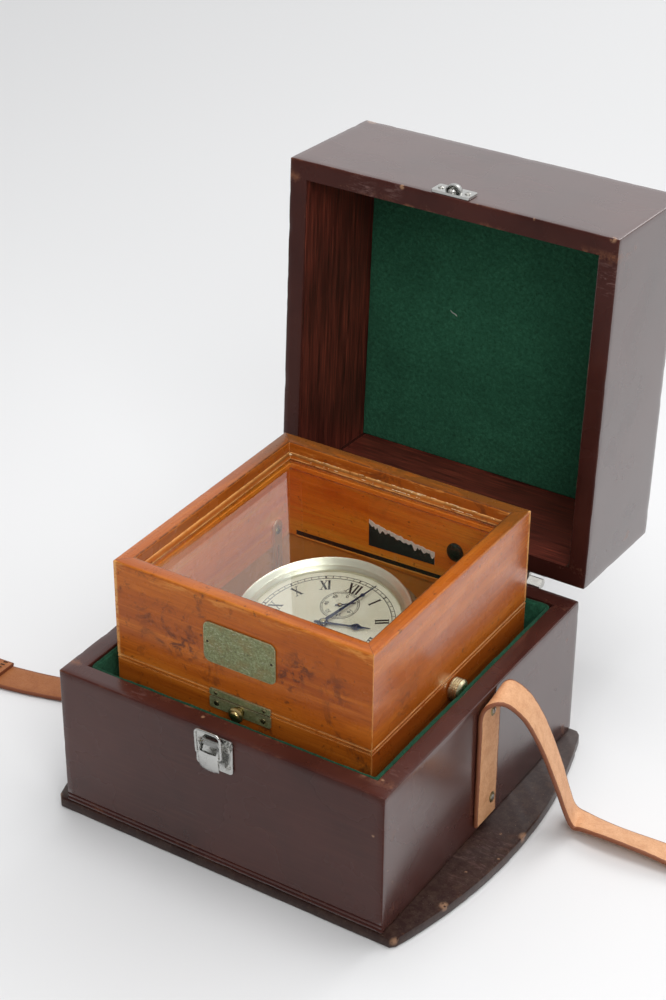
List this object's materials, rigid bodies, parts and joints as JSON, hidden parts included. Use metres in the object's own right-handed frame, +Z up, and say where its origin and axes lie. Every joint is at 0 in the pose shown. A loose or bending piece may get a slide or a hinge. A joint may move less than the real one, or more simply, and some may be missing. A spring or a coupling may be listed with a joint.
{
  "type": "marine chronometer",
  "caption": "Marine chronometer in gimbals inside a glazed wooden box, standing in a felt-lined carrying case with hinged lid, draw latch and leather strap.",
  "frame": {"origin": "centre of the underside of the base board, on the surface it stands on", "axes": "+X to the right of the case, +Y from the latch to the hinged back, +Z up"},
  "size_m": [0.5963, 0.3649, 0.3638],
  "materials": {
    "case_paint": "dark red-brown stain and satin varnish, worn at corners",
    "green_baize": "green wool baize",
    "mahogany": "glossy varnished mahogany with dark stains",
    "polished_brass": "polished and lacquered",
    "aged_brass": "dull, with green patina",
    "chrome": "polished nickel plate, scratched",
    "silvered_dial": "silvered, satin",
    "blued_steel": "heat-blued and polished",
    "window_glass": "clear, polished",
    "tan_leather": "natural tan, darker edges",
    "bright_steel": "bright",
    "movement_brass": "gilt, spotted finish"
  },
  "bodies": {
    "case": {"base_board": "case_paint", "case_front_board": "case_paint", "case_back_board": "case_paint", "case_left_board": "case_paint", "case_right_board": "case_paint", "case_felt_liner": "green_baize", "case_hinge_leaf_left": "chrome", "case_hinge_leaf_right": "chrome", "latch_plate": "chrome", "strap_right": "tan_leather", "strap_left": "tan_leather", "strap_buckle": "chrome", "tray_walls": "mahogany", "tray_hinge_leaf_left": "aged_brass", "tray_hinge_leaf_right": "aged_brass", "lock_plate": "aged_brass", "gimbal_pivot_left": "aged_brass"},
    "outer_lid": {"lid_front_board": "case_paint", "lid_back_board": "case_paint", "lid_left_board": "case_paint", "lid_right_board": "case_paint", "lid_top_panel": "case_paint", "lid_felt_pad": "green_baize", "lid_hinge_leaf_left": "chrome", "lid_hinge_leaf_right": "chrome", "strike_plate": "chrome"},
    "latch_lever": {"latch_lever": "chrome"},
    "latch_bail": {"latch_bail": "chrome"},
    "buckle_tongue": {"buckle_tongue": "chrome"},
    "glazed_lid": {"glazed_lid_frame": "mahogany", "glass_pane": "window_glass", "glazed_hinge_leaf_left": "aged_brass", "glazed_hinge_leaf_right": "aged_brass", "nameplate": "aged_brass", "lock_keeper_plate": "aged_brass"},
    "lid_stay": {"lid_stay": "aged_brass"},
    "lock_button": {"lock_button": "aged_brass"},
    "gimbal_lock_knob": {"gimbal_lock_knob": "aged_brass"},
    "gimbal_ring": {"gimbal_ring": "polished_brass"},
    "bowl": {"bowl": "polished_brass", "bezel": "polished_brass", "crystal": "window_glass", "dial": "silvered_dial", "pillar_plate": "movement_brass", "top_plate": "movement_brass", "fusee_chain": "bright_steel", "balance_spring": "blued_steel", "balance_cock": "movement_brass"},
    "winding_shutter": {"winding_shutter": "polished_brass"},
    "minute_hand": {"minute_hand": "blued_steel", "centre_wheel": "movement_brass"},
    "hour_hand": {"hour_hand": "blued_steel"},
    "seconds_hand": {"seconds_hand": "blued_steel", "fourth_wheel": "movement_brass"},
    "third_wheel": {"third_wheel": "movement_brass"},
    "escape_wheel": {"escape_wheel": "movement_brass"},
    "balance_wheel": {"balance_wheel": "movement_brass"},
    "fusee": {"fusee": "movement_brass"},
    "mainspring_barrel": {"mainspring_barrel": "movement_brass"},
    "up_down_hand": {"up_down_hand": "blued_steel"}
  },
  "joints": [
    {"name": "outer_lid_hinge", "type": "hinge", "parent": "case", "child": "outer_lid", "pos_m": [0, 0.1268, 0.11015], "axis": [-1, 0, 0], "range_deg": [-93.1, 2]},
    {"name": "latch_lever_pivot", "type": "hinge", "parent": "case", "child": "latch_lever", "pos_m": [0, -0.1262, 0.1035], "axis": [-1, 0, 0], "range_deg": [0, 120]},
    {"name": "latch_bail_pivot", "type": "hinge", "parent": "latch_lever", "child": "latch_bail", "pos_m": [0, -0.1287, 0.097], "axis": [1, 0, 0], "range_deg": [-1, 121]},
    {"name": "buckle_tongue_pivot", "type": "hinge", "parent": "case", "child": "buckle_tongue", "pos_m": [-0.278, -0.033, 0.0058], "axis": [0, 1, 0], "range_deg": [0, 80]},
    {"name": "glazed_lid_hinge", "type": "hinge", "parent": "case", "child": "glazed_lid", "pos_m": [0, 0.0973, 0.1134], "axis": [-1, 0, 0], "range_deg": [0, 62]},
    {"name": "lid_stay_pivot", "type": "hinge", "parent": "glazed_lid", "child": "lid_stay", "pos_m": [-0.0815, 0.068, 0.128], "axis": [1, 0, 0], "range_deg": [-1, 34]},
    {"name": "lock_button_slide", "type": "slide", "parent": "case", "child": "lock_button", "axis": [0, 1, 0], "range_m": [0, 0.0022]},
    {"name": "gimbal_lock_turn", "type": "hinge", "parent": "case", "child": "gimbal_lock_knob", "pos_m": [0.0925, 0, 0.105], "axis": [1, 0, 0], "range_deg": [0, 90]},
    {"name": "gimbal_ring_tilt", "type": "hinge", "parent": "case", "child": "gimbal_ring", "pos_m": [0, 0, 0.105], "axis": [1, 0, 0], "range_deg": [-34.9, 15.1]},
    {"name": "bowl_tilt", "type": "hinge", "parent": "gimbal_ring", "child": "bowl", "pos_m": [0, 0, 0.105], "axis": [0, 0.9851, 0.1719], "range_deg": [-22, 22]},
    {"name": "winding_shutter_turn", "type": "hinge", "parent": "bowl", "child": "winding_shutter", "pos_m": [0.016, 0.01263, 0.06173], "axis": [0, -0.1719, 0.9851], "range_deg": [0, 75]},
    {"name": "seconds_hand_spin", "type": "hinge", "parent": "bowl", "child": "seconds_hand", "pos_m": [0, -0.02199, 0.11639], "axis": [0, 0.1719, -0.9851], "continuous": true},
    {"name": "minute_hand_spin", "type": "hinge", "parent": "bowl", "child": "minute_hand", "pos_m": [0, -0.00292, 0.12175], "axis": [0, 0.1719, -0.9851], "continuous": true},
    {"name": "hour_hand_spin", "type": "hinge", "parent": "bowl", "child": "hour_hand", "pos_m": [0, -0.00275, 0.12076], "axis": [0, 0.1719, -0.9851], "continuous": true},
    {"name": "third_wheel_spin", "type": "hinge", "parent": "bowl", "child": "third_wheel", "pos_m": [-0.0145, -0.00951, 0.10131], "axis": [0, 0.1719, -0.9851], "continuous": true},
    {"name": "escape_wheel_spin", "type": "hinge", "parent": "bowl", "child": "escape_wheel", "pos_m": [0.0163, -0.01734, 0.08979], "axis": [0, 0.1719, -0.9851], "continuous": true},
    {"name": "balance_swing", "type": "hinge", "parent": "bowl", "child": "balance_wheel", "pos_m": [0.012, -0.00838, 0.08324], "axis": [0, -0.1719, 0.9851], "range_deg": [-270, 270]},
    {"name": "fusee_winding", "type": "hinge", "parent": "bowl", "child": "fusee", "pos_m": [0.016, 0.01675, 0.10792], "axis": [0, -0.1719, 0.9851], "range_deg": [-1350, 1350]},
    {"name": "mainspring_barrel_turn", "type": "hinge", "parent": "bowl", "child": "mainspring_barrel", "pos_m": [-0.024, 0.0197, 0.10844], "axis": [0, -0.1719, 0.9851], "range_deg": [-1080, 1080]},
    {"name": "up_down_hand_turn", "type": "hinge", "parent": "bowl", "child": "up_down_hand", "pos_m": [0, 0.01683, 0.12316], "axis": [0, -0.1719, 0.9851], "range_deg": [-151, 151]}
  ],
  "couplings": [
    {"joint": "latch_bail_pivot", "follows": "latch_lever_pivot", "ratio": 1},
    {"joint": "lid_stay_pivot", "follows": "glazed_lid_hinge", "ratio": 0.533},
    {"joint": "minute_hand_spin", "follows": "seconds_hand_spin", "ratio": 0.016667},
    {"joint": "hour_hand_spin", "follows": "seconds_hand_spin", "ratio": 0.0013889},
    {"joint": "third_wheel_spin", "follows": "seconds_hand_spin", "ratio": -0.125},
    {"joint": "escape_wheel_spin", "follows": "seconds_hand_spin", "ratio": -8},
    {"joint": "mainspring_barrel_turn", "follows": "fusee_winding", "ratio": 0.76},
    {"joint": "up_down_hand_turn", "follows": "fusee_winding", "ratio": 0.11111}
  ]
}
